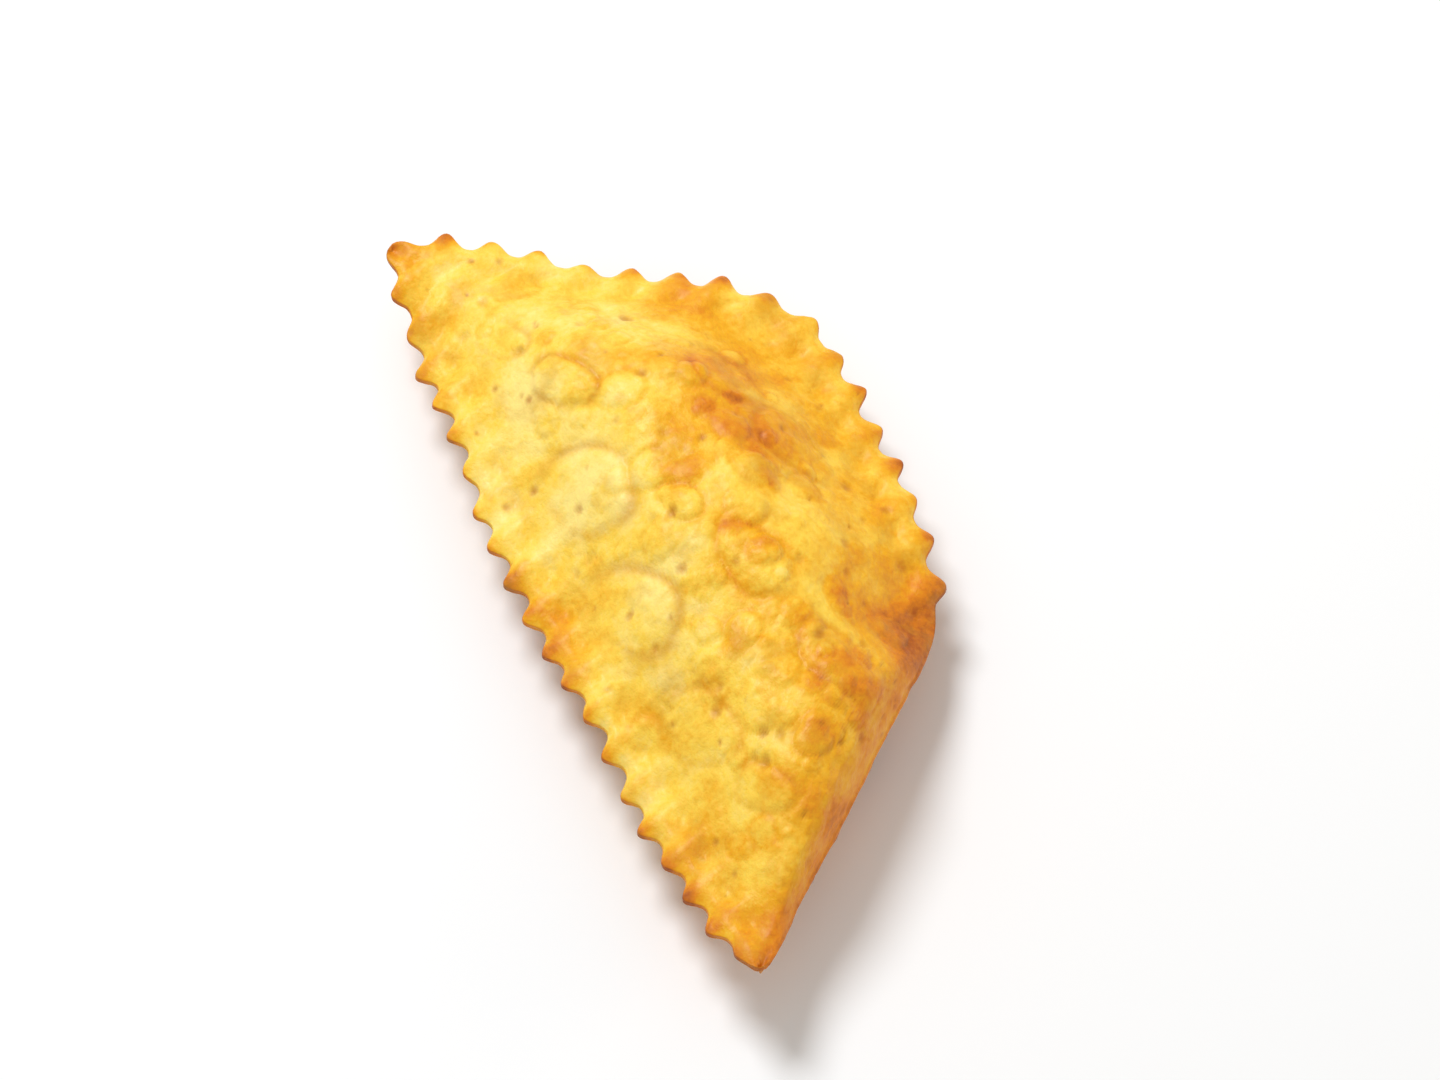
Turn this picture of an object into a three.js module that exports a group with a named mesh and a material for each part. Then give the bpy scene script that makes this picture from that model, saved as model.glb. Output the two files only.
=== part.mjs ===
// A small fried cheese turnover: two skins of dough puffed up round a filling, pressed together and cut
// with a fluted wheel along three sides, and folded over smoothly along the fourth.
// Millimetres, +Z up. The origin is the middle of the bounding box, at the height the piece rests on.
// +X runs along the long fluted edge to the sharp tip, and +Y across to the back.

import * as THREE from "three";
import { mergeVertices } from "three/addons/utils/BufferGeometryUtils.js";

// Plan: the corners of the outline at the roots of the teeth, and how far each one's rounding reaches
const TIP = { x: 93.1, y: 0, reach: 2.6 };
const BLUNT_CORNER = { x: 1, y: 1, reach: 3 };
const INNER_CORNER = { x: 23.5, y: 35.5, reach: 4.5 };
const FOLD_CORNER = { x: 61.5, y: 34.4, reach: 5 };

// Plan: how far the middle of each side bows out of the straight line between its corners
const LONG_EDGE_BOW = 2.6;
const INNER_EDGE_BOW = 1.2;
const BACK_EDGE_BOW = 1.2;
const FOLD_BOW = 0.2;

// Fluting of the wheel-cut edges, from a root at the sharp tip to a point at the blunt corner, and on
const LONG_EDGE_TEETH = 20.5;
const BACK_EDGE_TEETH = 16.5;
const TOOTH_DEPTH = 1.35;
const TOOTH_SHARPNESS = 1.3;
const TOOTH_REACH = 4;
const FIRST_TOOTH_FADE = 7;
const TOOTH_WAVES = [
  { share: 0.15, cycles: 9, shift: 1 },
  { share: 0.12, cycles: 23, shift: 0 },
];

// The cut and the fold waver in and out a little, though not at the sharp tip
const EDGE_WAVES = [
  { height: 0.3, cycles: 5, shift: 0.3 },
  { height: 0.2, cycles: 11, shift: 1.7 },
];
const EDGE_WAVE_FADE = 9;

// Soft ridges behind the teeth
const RIPPLE_HEIGHT = 0.3;
const RIPPLE_REACH = 5;

// Section: the pressed seam, the puffed skins above and below it, and the rounded fold
const SEAM_HEIGHT = 7.2;
const SEAM_HALF_THICKNESS = 1.05;
const EDGE_HALF_THICKNESS = 0.4;
const EDGE_ROUNDING = 1.3;
const SEAM_WIDTH = 2.4;
const PUFF_REACH = 15;
const PUFF_FULLNESS = 1.3;
const TOP_PUFF = 8.2;
const BOTTOM_PUFF = 6.4;
const FOLD_RADIUS = 9;

// The seam isn't flat: it waves up and down along the cut edges, and both ends of the piece curl up
const SEAM_WAVES = [
  { height: 0.55, cycles: 7, shift: 0.9 },
  { height: 0.35, cycles: 12, shift: 2.2 },
];
const TIP_CURL = 2.2;
const TIP_CURL_LENGTH = 30;
const BLUNT_CURL = 1.6;
const BLUNT_CURL_LENGTH = 22;

// Broad unevenness of the puffed skins: heights, and waves per millimetre along X and Y
const SWELLS = [
  { height: 0.4, alongX: 0.021, alongY: 0.017, shift: 0.4 },
  { height: 0.3, alongX: -0.014, alongY: 0.033, shift: 1.9 },
  { height: 0.22, alongX: 0.043, alongY: -0.022, shift: 3.1 },
  { height: 0.2, alongX: 0.071, alongY: 0.052, shift: 0.7 },
  { height: 0.14, alongX: 0.064, alongY: -0.101, shift: 2.4 },
];

// Blisters raised on the top skin by the hot oil, at their places in the plan
const TOP_BLISTERS = [
  { x: 37.7, y: 6.8, radius: 4.6 },
  { x: 45.0, y: 13.4, radius: 2.2 },
  { x: 51.7, y: 5.2, radius: 4.6 },
  { x: 44.3, y: 3.4, radius: 1.5 },
  { x: 54.4, y: 17.4, radius: 3.8 },
  { x: 67.4, y: 20.6, radius: 4.0 },
  { x: 31.8, y: 24.4, radius: 3.6 },
  { x: 66.4, y: 5.8, radius: 3.8 },
  { x: 22.4, y: 27.0, radius: 3.0 },
  { x: 41.6, y: 27.6, radius: 3.8 },
  { x: 26.2, y: 9.4, radius: 3.0 },
  { x: 17.0, y: 6.6, radius: 2.4 },
  { x: 76.2, y: 8.4, radius: 2.6 },
];
const BOTTOM_BLISTER_COUNT = 14;
const BOTTOM_BLISTER_RADIUS = { least: 2.4, most: 5.2 };
const BLISTER_SEED = 20;
const BLISTER_RISE = 0.15;
const BLISTER_PLATEAU = 3;
const BLISTER_CREASE = 0.22;
const BLISTER_CREASE_WIDTH = 0.18;

// Blisters are longer than wide, along one direction that turns this far from +X
const BLISTER_STRETCH = 1.3;
const BLISTER_TURN = THREE.MathUtils.degToRad(20);

// The blisters' outlines are uneven: places shift by waves this high and long before they are measured
const WARP = 0.3;
const WARP_LENGTH = 8.5;
const WARP_SHIFT = { x: 0.8, y: 2.9 };

// Fineness of the surface
const STEPS_PER_TOOTH = 4;
const TOP_ROWS = 40;
const BOTTOM_ROWS = 24;
const ROW_CROWDING = 0.35;
const STRETCH_SAMPLES = 120;

// The outline, as one closed path of bowed sides and rounded corners that starts next to the sharp tip

function bowedSide(from, to, bow) {
  const a = new THREE.Vector2(from.x, from.y);
  const b = new THREE.Vector2(to.x, to.y);
  const along = b.clone().sub(a).normalize();
  const outward = new THREE.Vector2(-along.y, along.x);
  const control = a.clone().add(b).multiplyScalar(0.5).addScaledVector(outward, 2 * bow);
  const start = control.clone().sub(a).setLength(from.reach).add(a);
  const end = control.clone().sub(b).setLength(to.reach).add(b);
  return { start, control, end, corner: b };
}

const sides = [
  bowedSide(TIP, BLUNT_CORNER, LONG_EDGE_BOW),
  bowedSide(BLUNT_CORNER, INNER_CORNER, INNER_EDGE_BOW),
  bowedSide(INNER_CORNER, FOLD_CORNER, BACK_EDGE_BOW),
  bowedSide(FOLD_CORNER, TIP, FOLD_BOW),
];

const outline = new THREE.Path().moveTo(sides[0].start.x, sides[0].start.y);
sides.forEach((side, i) => {
  const next = sides[(i + 1) % sides.length].start;
  outline.quadraticCurveTo(side.control.x, side.control.y, side.end.x, side.end.y);
  outline.quadraticCurveTo(side.corner.x, side.corner.y, next.x, next.y);
});

// Lengths of the four edges, each from the middle of one corner to the middle of the next
const curveLengths = outline.curves.map((curve) => curve.getLength());
const tipTurn = curveLengths.at(-1);
const edgeLengths = sides.map((side, i) => {
  const turnBefore = curveLengths.at(2 * i - 1);
  return turnBefore / 2 + curveLengths[2 * i] + curveLengths[2 * i + 1] / 2;
});
const [longEdgeLength, innerEdgeLength, backSideLength, foldLength] = edgeLengths;
const backEdgeLength = innerEdgeLength + backSideLength;
const flutedLength = longEdgeLength + backEdgeLength;
const outlineLength = flutedLength + foldLength;

// The point of the outline at a distance from the sharp tip, and the direction that faces out there
function outlineAt(distance) {
  const share = ((distance - tipTurn / 2 + outlineLength) / outlineLength) % 1;
  const along = outline.getTangentAt(share);
  return { point: outline.getPointAt(share), outward: new THREE.Vector2(-along.y, along.x) };
}

// Stations count round the outline: along both fluted stretches by the tooth, then plainly along the fold
const halfStations = LONG_EDGE_TEETH * STEPS_PER_TOOTH;
const backStations = BACK_EDGE_TEETH * STEPS_PER_TOOTH;
const foldStations = halfStations - backStations;

function stationDistance(station) {
  if (station <= halfStations) return (station / halfStations) * longEdgeLength;
  const past = station - halfStations;
  if (past <= backStations) return longEdgeLength + (past / backStations) * backEdgeLength;
  return flutedLength + ((past - backStations) / foldStations) * foldLength;
}

// Fluting and waves of the seam, by the distance from the sharp tip

// The place on its tooth, where a whole number is a root and a half is a point
function toothPhase(distance) {
  if (distance >= flutedLength) return 0;
  if (distance < longEdgeLength) return (distance / longEdgeLength) * LONG_EDGE_TEETH;
  return LONG_EDGE_TEETH + ((distance - longEdgeLength) / backEdgeLength) * BACK_EDGE_TEETH;
}

// How far out the edge lies from the plain outline
function edgeOffset(distance) {
  const turn = (distance / outlineLength) * 2 * Math.PI;
  const waveAt = (wave) => wave.share * Math.sin(wave.cycles * turn + wave.shift);
  const uneven = TOOTH_WAVES.reduce((sum, wave) => sum + waveAt(wave), 1);
  const grown = THREE.MathUtils.smoothstep(distance, 0, FIRST_TOOTH_FADE);
  const rounded = 0.5 - 0.5 * Math.cos(2 * Math.PI * toothPhase(distance));
  const fromTip = Math.min(distance, outlineLength - distance);
  const waverAt = (wave) => wave.height * Math.sin(wave.cycles * turn + wave.shift);
  const waver = EDGE_WAVES.reduce((sum, wave) => sum + waverAt(wave), 0);
  const wavered = waver * THREE.MathUtils.smoothstep(fromTip, 0, EDGE_WAVE_FADE);
  return TOOTH_DEPTH * uneven * grown * rounded ** TOOTH_SHARPNESS + wavered;
}

function seamWave(distance) {
  const turn = (distance / outlineLength) * 2 * Math.PI;
  return SEAM_WAVES.reduce((sum, wave) => sum + wave.height * Math.sin(wave.cycles * turn + wave.shift), 0);
}

function edgeRipple(distance) {
  return RIPPLE_HEIGHT * Math.cos(2 * Math.PI * toothPhase(distance));
}

// Distances of a point in the plan from each of the four edges

const edges = [];
let edgeStart = 0;
for (const length of edgeLengths) {
  const points = [];
  for (let i = 0; i <= STRETCH_SAMPLES; i++) {
    points.push(outlineAt(edgeStart + (length * i) / STRETCH_SAMPLES).point);
  }
  edges.push(points);
  edgeStart += length;
}

function distanceTo(points, x, y) {
  let least = Infinity;
  for (let i = 1; i < points.length; i++) {
    const a = points[i - 1];
    const dx = points[i].x - a.x;
    const dy = points[i].y - a.y;
    const share = ((x - a.x) * dx + (y - a.y) * dy) / (dx * dx + dy * dy);
    const held = THREE.MathUtils.clamp(share, 0, 1);
    least = Math.min(least, Math.hypot(x - a.x - held * dx, y - a.y - held * dy));
  }
  return least;
}

// Relief of the skins

// A linear congruential generator, which draws the same numbers every time
function makeDraw(seed) {
  let state = seed;
  return () => {
    state = (Math.imul(state, 1664525) + 1013904223) >>> 0;
    return state / 2 ** 32;
  };
}

// Places blisters on the bottom skin, clear of the seam and of each other
function scatterBlisters(count) {
  const draw = makeDraw(BLISTER_SEED);
  const { least, most } = BOTTOM_BLISTER_RADIUS;
  const placed = [];
  while (placed.length < count) {
    const x = TIP.x * draw();
    const y = FOLD_CORNER.y * draw();
    const radius = least + (most - least) * draw();
    const room = Math.min(...edges.map((edge) => distanceTo(edge, x, y)));
    const clear = placed.every((other) => Math.hypot(other.x - x, other.y - y) > other.radius + radius);
    if (room > radius + SEAM_WIDTH && clear) placed.push({ x, y, radius });
  }
  return placed;
}

function warped(x, y) {
  const turn = (2 * Math.PI) / WARP_LENGTH;
  return {
    x: x + WARP * Math.sin(turn * y + WARP_SHIFT.x),
    y: y + WARP * Math.sin(turn * x + WARP_SHIFT.y),
  };
}

// How far a place lies from the middle of a blister, as a share of the blister's size
function blisterShare(blister, place) {
  const dx = place.x - blister.x;
  const dy = place.y - blister.y;
  const along = dx * Math.cos(BLISTER_TURN) + dy * Math.sin(BLISTER_TURN);
  const across = dy * Math.cos(BLISTER_TURN) - dx * Math.sin(BLISTER_TURN);
  return Math.hypot(along / BLISTER_STRETCH, across * BLISTER_STRETCH) / blister.radius;
}

// A blister is a low dome with a flattened top, inside a shallow crease
function blisterHeight(blisters, x, y) {
  const place = warped(x, y);
  let dome = 0;
  let crease = 0;
  for (const blister of blisters) {
    const share = blisterShare(blister, place);
    const fullness = Math.max(0, 1 - share ** BLISTER_PLATEAU);
    dome = Math.max(dome, BLISTER_RISE * blister.radius * fullness);
    crease = Math.max(crease, Math.exp(-(((share - 1) / BLISTER_CREASE_WIDTH) ** 2)));
  }
  return dome - BLISTER_CREASE * crease;
}

function swellHeight(x, y) {
  const heightOf = (s) => s.height * Math.sin(2 * Math.PI * (s.alongX * x + s.alongY * y) + s.shift);
  return SWELLS.reduce((sum, swell) => sum + heightOf(swell), 0);
}

// Section heights at a point in the plan

// Share of the full puff, from 0 on the pressed seams and at the fold to 1 in the middle of the piece
function puffShare(fromEdges) {
  const fromFold = fromEdges.at(-1);
  const round = Math.min(1, fromFold / FOLD_RADIUS);
  const rises = fromEdges.slice(0, -1).map((distance) => {
    const rise = THREE.MathUtils.clamp((distance - SEAM_WIDTH) / PUFF_REACH, 0, 1);
    return Math.sin((rise * Math.PI) / 2) ** PUFF_FULLNESS;
  });
  return rises.reduce((product, rise) => product * rise, Math.sqrt(1 - (1 - round) ** 2));
}

function seamHalfThickness(fromEdge) {
  const share = Math.min(1, fromEdge / EDGE_ROUNDING);
  const gain = SEAM_HALF_THICKNESS - EDGE_HALF_THICKNESS;
  return EDGE_HALF_THICKNESS + gain * Math.sin((share * Math.PI) / 2);
}

function curlHeight(x) {
  const nearTip = Math.max(0, 1 - (TIP.x - x) / TIP_CURL_LENGTH);
  const nearBlunt = Math.max(0, 1 - (x - BLUNT_CORNER.x) / BLUNT_CURL_LENGTH);
  return TIP_CURL * nearTip ** 2 + BLUNT_CURL * nearBlunt ** 2;
}

// The skins: above the seam, side is 1, and below it, -1
const TOP_SKIN = { side: 1, puff: TOP_PUFF, rows: TOP_ROWS, blisters: TOP_BLISTERS };
const BOTTOM_SKIN = {
  side: -1,
  puff: BOTTOM_PUFF,
  rows: BOTTOM_ROWS,
  blisters: scatterBlisters(BOTTOM_BLISTER_COUNT),
};

// Height of a skin at a place, where wave and ripple are those of the cut edges on either hand
function skinHeight(skin, place, wave, ripple) {
  const fromEdges = edges.map((edge) => distanceTo(edge, place.x, place.y));
  const fromCut = Math.min(...fromEdges.slice(0, -1));
  const relief = blisterHeight(skin.blisters, place.x, place.y) + swellHeight(place.x, place.y);
  const puffed = (skin.puff + relief) * puffShare(fromEdges);
  const rippled = ripple * Math.sin(Math.PI * Math.min(1, fromCut / RIPPLE_REACH)) ** 2;
  const half = seamHalfThickness(Math.min(...fromEdges)) + puffed - rippled;
  return Math.max(0, SEAM_HEIGHT + curlHeight(place.x) + wave + skin.side * half);
}

// The points of a skin along a straight line between two stations that face each other. At both ends of
// the piece the line shrinks to a point.
function skinColumn(skin, station) {
  const nearDistance = stationDistance(station);
  const farDistance = stationDistance(2 * halfStations - station);
  const near = outlineAt(nearDistance);
  const far = outlineAt(farDistance);
  const width = near.point.distanceTo(far.point);
  const pushAt = (distance, from) => edgeOffset(distance) * Math.max(0, 1 - from / TOOTH_REACH) ** 2;
  const isPoint = station === 0 || station === halfStations;
  const column = [];
  for (let row = 0; row <= skin.rows; row++) {
    const even = isPoint ? 0 : row / skin.rows;
    const across = even - (ROW_CROWDING * Math.sin(2 * Math.PI * even)) / (2 * Math.PI);
    const blend = THREE.MathUtils.smoothstep(across, 0, 1);
    const mix = (valueAt) => THREE.MathUtils.lerp(valueAt(nearDistance), valueAt(farDistance), blend);
    const place = near.point.clone().lerp(far.point, across);
    const wave = mix(seamWave) * Math.cos(Math.PI * across) ** 2;
    const height = skinHeight(skin, place, wave, mix(edgeRipple));
    place.addScaledVector(near.outward, (1 - across) * pushAt(nearDistance, across * width));
    place.addScaledVector(far.outward, across * pushAt(farDistance, (1 - across) * width));
    column.push(new THREE.Vector3(place.x, place.y, height));
  }
  return column;
}

function skinGrid(skin) {
  const grid = [];
  for (let station = 0; station <= halfStations; station++) grid.push(skinColumn(skin, station));
  return grid;
}

// Closed surface

function addTriangle(positions, a, b, c) {
  if (!a.equals(b) && !b.equals(c) && !c.equals(a)) {
    positions.push(...a.toArray(), ...b.toArray(), ...c.toArray());
  }
}

// A quad is split along its shorter diagonal
function addQuad(positions, a, b, c, d) {
  if (a.distanceTo(c) <= b.distanceTo(d)) {
    addTriangle(positions, a, b, c);
    addTriangle(positions, a, c, d);
  } else {
    addTriangle(positions, b, c, d);
    addTriangle(positions, b, d, a);
  }
}

function addGrid(positions, grid, side) {
  for (let i = 1; i < grid.length; i++) {
    for (let k = 1; k < grid[i].length; k++) {
      const corners = [grid[i - 1][k - 1], grid[i - 1][k], grid[i][k], grid[i][k - 1]];
      if (side < 0) corners.reverse();
      addQuad(positions, ...corners);
    }
  }
}

function pastryGeometry() {
  const top = skinGrid(TOP_SKIN);
  const bottom = skinGrid(BOTTOM_SKIN);
  const positions = [];
  addGrid(positions, top, TOP_SKIN.side);
  addGrid(positions, bottom, BOTTOM_SKIN.side);
  for (let i = 1; i <= halfStations; i++) {
    addQuad(positions, bottom[i - 1].at(0), top[i - 1].at(0), top[i].at(0), bottom[i].at(0));
    addQuad(positions, bottom[i].at(-1), top[i].at(-1), top[i - 1].at(-1), bottom[i - 1].at(-1));
  }
  const loose = new THREE.BufferGeometry();
  loose.setAttribute("position", new THREE.Float32BufferAttribute(positions, 3));
  const geometry = mergeVertices(loose, 1e-4);
  geometry.computeBoundingBox();
  const middle = geometry.boundingBox.getCenter(new THREE.Vector3());
  geometry.translate(-middle.x, -middle.y, 0);
  geometry.computeVertexNormals();
  return geometry;
}

const crust = new THREE.MeshStandardMaterial({ color: 0xf3c356, roughness: 0.45, metalness: 0 });
const pastry = new THREE.Mesh(pastryGeometry(), crust);
pastry.name = "pastry";

const group = new THREE.Group();
group.add(pastry);

export default group;
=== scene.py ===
"""Looks of a small fried cheese turnover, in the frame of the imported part.

The outline, the section and the larger blisters follow the part's source, at a finer step. Their sizes are in
millimetres, with X along the long edge to the sharp tip and Y across to the fold. Blender gets metres.
"""

import math

import bpy
import numpy as np
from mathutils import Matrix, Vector, kdtree, noise


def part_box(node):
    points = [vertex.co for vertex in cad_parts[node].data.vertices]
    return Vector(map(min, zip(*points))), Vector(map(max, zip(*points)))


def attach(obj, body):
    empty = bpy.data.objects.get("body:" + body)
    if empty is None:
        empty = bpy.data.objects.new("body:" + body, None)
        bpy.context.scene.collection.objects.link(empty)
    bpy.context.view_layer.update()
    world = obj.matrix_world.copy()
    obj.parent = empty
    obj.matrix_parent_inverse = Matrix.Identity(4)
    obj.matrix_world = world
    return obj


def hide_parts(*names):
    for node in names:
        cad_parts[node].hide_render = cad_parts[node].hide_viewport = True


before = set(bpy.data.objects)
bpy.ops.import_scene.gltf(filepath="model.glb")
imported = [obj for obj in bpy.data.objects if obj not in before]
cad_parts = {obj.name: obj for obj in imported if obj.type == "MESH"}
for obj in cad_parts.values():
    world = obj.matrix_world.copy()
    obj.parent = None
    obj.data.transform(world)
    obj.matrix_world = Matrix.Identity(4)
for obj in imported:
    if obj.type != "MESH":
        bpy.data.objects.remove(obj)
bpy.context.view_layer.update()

MM = 0.001

# Corners of the outline at the roots of the teeth, as (x, y, reach of the rounding)
TIP = (93.1, 0.0, 2.6)
BLUNT_CORNER = (1.0, 1.0, 3.0)
INNER_CORNER = (23.5, 35.5, 4.5)
FOLD_CORNER = (61.5, 34.4, 5.0)

# How far the middle of each side bows out
LONG_EDGE_BOW = 2.6
INNER_EDGE_BOW = 1.2
BACK_EDGE_BOW = 1.2
FOLD_BOW = 0.2

# Fluting of the cut edges
LONG_EDGE_TEETH = 20.5
BACK_EDGE_TEETH = 16.5
TOOTH_DEPTH = 1.35
TOOTH_SHARPNESS = 1.3
TOOTH_REACH = 4.0
FIRST_TOOTH_FADE = 7.0

# Unevenness round the outline, as (share of a tooth, cycles, shift) and as (height, cycles, shift)
TOOTH_WAVES = ((0.15, 9, 1.0), (0.12, 23, 0.0))
EDGE_WAVES = ((0.3, 5, 0.3), (0.2, 11, 1.7))
EDGE_WAVE_FADE = 9.0

# Soft ridges behind the teeth
RIPPLE_HEIGHT = 0.3
RIPPLE_REACH = 5.0

# Section: the pressed seam, the puffed skins above and below it, and the rounded fold
SEAM_HEIGHT = 7.2
SEAM_HALF_THICKNESS = 1.05
EDGE_HALF_THICKNESS = 0.4
EDGE_ROUNDING = 1.3
SEAM_WIDTH = 2.4
PUFF_REACH = 15.0
PUFF_FULLNESS = 1.3
TOP_PUFF = 8.2
BOTTOM_PUFF = 6.4
FOLD_RADIUS = 9.0

# Waves of the seam as (height, cycles, shift), and the curl of both ends
SEAM_WAVES = ((0.55, 7, 0.9), (0.35, 12, 2.2))
TIP_CURL = 2.2
TIP_CURL_LENGTH = 30.0
BLUNT_CURL = 1.6
BLUNT_CURL_LENGTH = 22.0

# Broad unevenness as (height, waves per millimetre along X, along Y, shift)
SWELLS = (
    (0.4, 0.021, 0.017, 0.4),
    (0.3, -0.014, 0.033, 1.9),
    (0.22, 0.043, -0.022, 3.1),
    (0.2, 0.071, 0.052, 0.7),
    (0.14, 0.064, -0.101, 2.4),
)

# Blisters of the top skin as (x, y, radius, browning, strength of the thin outline)
TOP_BLISTERS = (
    (37.7, 6.8, 4.6, 0.05, 0.50),
    (45.0, 13.4, 2.2, 0.04, 0.10),
    (51.7, 5.2, 4.6, 0.10, 0.50),
    (44.3, 3.4, 1.5, 0.16, 0.35),
    (54.4, 17.4, 3.8, 0.03, 0.08),
    (67.4, 20.6, 4.0, 0.24, 0.15),
    (31.8, 24.4, 3.6, 0.08, 0.20),
    (66.4, 5.8, 3.8, 0.14, 0.35),
    (22.4, 27.0, 3.0, 0.12, 0.30),
    (41.6, 27.6, 3.8, 0.14, 0.25),
    (26.2, 9.4, 3.0, 0.00, 0.35),
    (17.0, 6.6, 2.4, 0.06, 0.35),
    (76.2, 8.4, 2.6, 0.06, 0.25),
)
BOTTOM_BLISTER_COUNT = 14
BOTTOM_BLISTER_RADIUS = (2.4, 5.2)
BOTTOM_BLISTER_BROWNINGS = (0.1, 0.3)
BOTTOM_BLISTER_OUTLINE = 0.4
BLISTER_SEED = 20

# Form of a blister: its rise as a share of the radius, the flatness of its top, and the crease round it
BLISTER_RISE = 0.15
BLISTER_PLATEAU = 3
BLISTER_CREASE = 0.22
BLISTER_CREASE_WIDTH = 0.18
OUTLINE_THINNESS = 1.7
OUTLINE_PUFF_GAIN = 2.0

# Blisters are longer than wide, along one direction that turns this far from +X
BLISTER_STRETCH = 1.3
BLISTER_TURN = math.radians(20)

# A wavy warp keeps the blisters from being true ellipses
WARP = 0.3
WARP_LENGTH = 8.5
WARP_SHIFT = (0.8, 2.9)

# Fineness of the surface
STEPS_PER_TOOTH = 20
TOP_ROWS = 148
BOTTOM_ROWS = 76
RIM_ROWS = 6
ROW_CROWDING = 0.35
CURVE_SAMPLES = 400
STRETCH_SAMPLES = 120
DIRECTION_STEP = 0.05


# Outline


def smoothstep(share):
    held = np.clip(share, 0, 1)
    return held * held * (3 - 2 * held)


def bowed_side(start_corner, end_corner, bow):
    """The start, control point and end of a side's curve, and the corner that it leads to.

    The curve starts and ends where the roundings of its corners do.
    """
    a = np.array(start_corner[:2])
    b = np.array(end_corner[:2])
    along = (b - a) / np.linalg.norm(b - a)
    outward = np.array([-along[1], along[0]])
    control = (a + b) / 2 + 2 * bow * outward
    start = a + start_corner[2] * (control - a) / np.linalg.norm(control - a)
    end = b + end_corner[2] * (control - b) / np.linalg.norm(control - b)
    return start, control, end, b


def curve_points(a, control, b):
    t = np.linspace(0, 1, CURVE_SAMPLES + 1)[:, None]
    return (1 - t) ** 2 * a + 2 * t * (1 - t) * control + t**2 * b


def length_along(points):
    steps = np.linalg.norm(np.diff(points, axis=0), axis=1)
    return np.concatenate([[0], np.cumsum(steps)])


SIDES = [
    bowed_side(TIP, BLUNT_CORNER, LONG_EDGE_BOW),
    bowed_side(BLUNT_CORNER, INNER_CORNER, INNER_EDGE_BOW),
    bowed_side(INNER_CORNER, FOLD_CORNER, BACK_EDGE_BOW),
    bowed_side(FOLD_CORNER, TIP, FOLD_BOW),
]
CURVES = []
for place, (side_start, side_control, side_end, side_corner) in enumerate(SIDES):
    next_start = SIDES[(place + 1) % len(SIDES)][0]
    CURVES.append(curve_points(side_start, side_control, side_end))
    CURVES.append(curve_points(side_end, side_corner, next_start))
CURVE_LENGTHS = [length_along(curve)[-1] for curve in CURVES]
TIP_TURN = CURVE_LENGTHS[-1]
EDGE_LENGTHS = [
    CURVE_LENGTHS[2 * i - 1] / 2 + CURVE_LENGTHS[2 * i] + CURVE_LENGTHS[2 * i + 1] / 2
    for i in range(len(SIDES))
]
LONG_EDGE_LENGTH = EDGE_LENGTHS[0]
BACK_EDGE_LENGTH = EDGE_LENGTHS[1] + EDGE_LENGTHS[2]
FOLD_LENGTH = EDGE_LENGTHS[3]
FLUTED_LENGTH = LONG_EDGE_LENGTH + BACK_EDGE_LENGTH
OUTLINE_LENGTH = FLUTED_LENGTH + FOLD_LENGTH
OUTLINE_POINTS = np.concatenate([curve[:-1] for curve in CURVES] + [CURVES[0][:1]])
OUTLINE_PLACES = length_along(OUTLINE_POINTS)


def outline_at(distance):
    """The points at these distances from the sharp tip, and the directions that face out there."""
    turned = (distance - TIP_TURN / 2) % OUTLINE_LENGTH

    def point(where):
        where = where % OUTLINE_LENGTH
        return np.stack([np.interp(where, OUTLINE_PLACES, OUTLINE_POINTS[:, i]) for i in (0, 1)], axis=-1)

    along = point(turned + DIRECTION_STEP) - point(turned - DIRECTION_STEP)
    along /= np.linalg.norm(along, axis=-1, keepdims=True)
    return point(turned), np.stack([-along[..., 1], along[..., 0]], axis=-1)


# Stations count round the outline: by the tooth along the fluted stretches, then plainly along the fold
HALF_STATIONS = round(LONG_EDGE_TEETH * STEPS_PER_TOOTH)
BACK_STATIONS = round(BACK_EDGE_TEETH * STEPS_PER_TOOTH)
STATIONS = 2 * HALF_STATIONS


def station_distance(station):
    """How far round the outline a station lies, from the sharp tip."""
    knots = [0, HALF_STATIONS, HALF_STATIONS + BACK_STATIONS, STATIONS]
    return np.interp(station, knots, [0, LONG_EDGE_LENGTH, FLUTED_LENGTH, OUTLINE_LENGTH])


def tooth_phase(distance):
    """The place on its tooth, where a whole number is a root and a half is a point."""
    teeth = [0, LONG_EDGE_TEETH, LONG_EDGE_TEETH + BACK_EDGE_TEETH]
    phase = np.interp(distance, [0, LONG_EDGE_LENGTH, FLUTED_LENGTH], teeth)
    return np.where(distance >= FLUTED_LENGTH, 0, phase)


def tooth_share(distance):
    """How far out the edge lies on its tooth, as a share of the full depth."""
    turn = distance / OUTLINE_LENGTH * 2 * math.pi
    uneven = 1 + sum(share * np.sin(cycles * turn + shift) for share, cycles, shift in TOOTH_WAVES)
    grown = smoothstep(distance / FIRST_TOOTH_FADE)
    rounded = 0.5 - 0.5 * np.cos(2 * math.pi * tooth_phase(distance))
    return uneven * grown * rounded**TOOTH_SHARPNESS


def edge_offset(distance):
    """How far the edge lies outside the plain outline."""
    turn = distance / OUTLINE_LENGTH * 2 * math.pi
    from_tip = np.minimum(distance, OUTLINE_LENGTH - distance)
    waver = sum(height * np.sin(cycles * turn + shift) for height, cycles, shift in EDGE_WAVES)
    return TOOTH_DEPTH * tooth_share(distance) + waver * smoothstep(from_tip / EDGE_WAVE_FADE)


def seam_wave(distance):
    turn = distance / OUTLINE_LENGTH * 2 * math.pi
    return sum(height * np.sin(cycles * turn + shift) for height, cycles, shift in SEAM_WAVES)


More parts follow.
